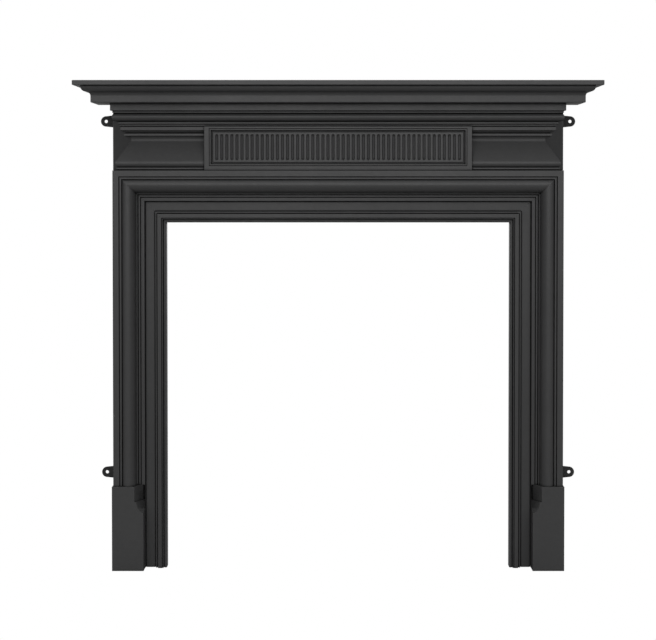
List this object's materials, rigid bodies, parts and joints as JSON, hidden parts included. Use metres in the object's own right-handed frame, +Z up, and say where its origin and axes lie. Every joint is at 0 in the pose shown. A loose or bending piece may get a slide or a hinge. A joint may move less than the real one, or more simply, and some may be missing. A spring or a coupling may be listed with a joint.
{
  "type": "cast iron fire surround",
  "caption": "Cast iron fire surround with a moulded mitred architrave, fluted frieze tablet, stepped cornice and plain mantel shelf.",
  "frame": {"origin": "on the hearth, in the middle of the overall width and of the overall depth", "axes": "+X to the viewer's right, -Y into the room, +Y to the wall, +Z up"},
  "size_m": [1.3774, 0.2002, 1.2919],
  "materials": {
    "satin_iron": "satin graphite-black",
    "lug_iron": "satin graphite-black, rough as cast",
    "fixing_steel": "dull zinc"
  },
  "bodies": {
    "root": {"mantel_shelf": "satin_iron", "cornice": "satin_iron", "frieze": "satin_iron", "fluted_tablet": "satin_iron", "lintel": "satin_iron", "right_leg": "satin_iron", "left_leg": "satin_iron", "right_plinth_block": "satin_iron", "left_plinth_block": "satin_iron", "right_upper_wall_lug": "lug_iron", "left_upper_wall_lug": "lug_iron", "right_lower_wall_lug": "lug_iron", "left_lower_wall_lug": "lug_iron", "right_shelf_bolt_1": "fixing_steel", "left_shelf_bolt_1": "fixing_steel", "right_shelf_bolt_2": "fixing_steel", "left_shelf_bolt_2": "fixing_steel", "right_frieze_1_bolt": "fixing_steel", "left_frieze_1_bolt": "fixing_steel", "right_frieze_1_nut": "fixing_steel", "left_frieze_1_nut": "fixing_steel", "right_frieze_2_bolt": "fixing_steel", "left_frieze_2_bolt": "fixing_steel", "right_frieze_2_nut": "fixing_steel", "left_frieze_2_nut": "fixing_steel", "right_mitre_1_bolt": "fixing_steel", "left_mitre_1_bolt": "fixing_steel", "right_mitre_1_nut": "fixing_steel", "left_mitre_1_nut": "fixing_steel", "right_mitre_2_bolt": "fixing_steel", "left_mitre_2_bolt": "fixing_steel", "right_mitre_2_nut": "fixing_steel", "left_mitre_2_nut": "fixing_steel", "right_plinth_1_bolt": "fixing_steel", "left_plinth_1_bolt": "fixing_steel", "right_plinth_1_nut": "fixing_steel", "left_plinth_1_nut": "fixing_steel", "right_plinth_2_bolt": "fixing_steel", "left_plinth_2_bolt": "fixing_steel", "right_plinth_2_nut": "fixing_steel", "left_plinth_2_nut": "fixing_steel", "right_tablet_1_bolt": "fixing_steel", "left_tablet_1_bolt": "fixing_steel", "right_tablet_1_nut": "fixing_steel", "left_tablet_1_nut": "fixing_steel", "right_tablet_2_bolt": "fixing_steel", "left_tablet_2_bolt": "fixing_steel", "right_tablet_2_nut": "fixing_steel", "left_tablet_2_nut": "fixing_steel", "right_upper_lug_screw": "fixing_steel", "left_upper_lug_screw": "fixing_steel", "right_lower_lug_screw": "fixing_steel", "left_lower_lug_screw": "fixing_steel"}
  },
  "joints": []
}
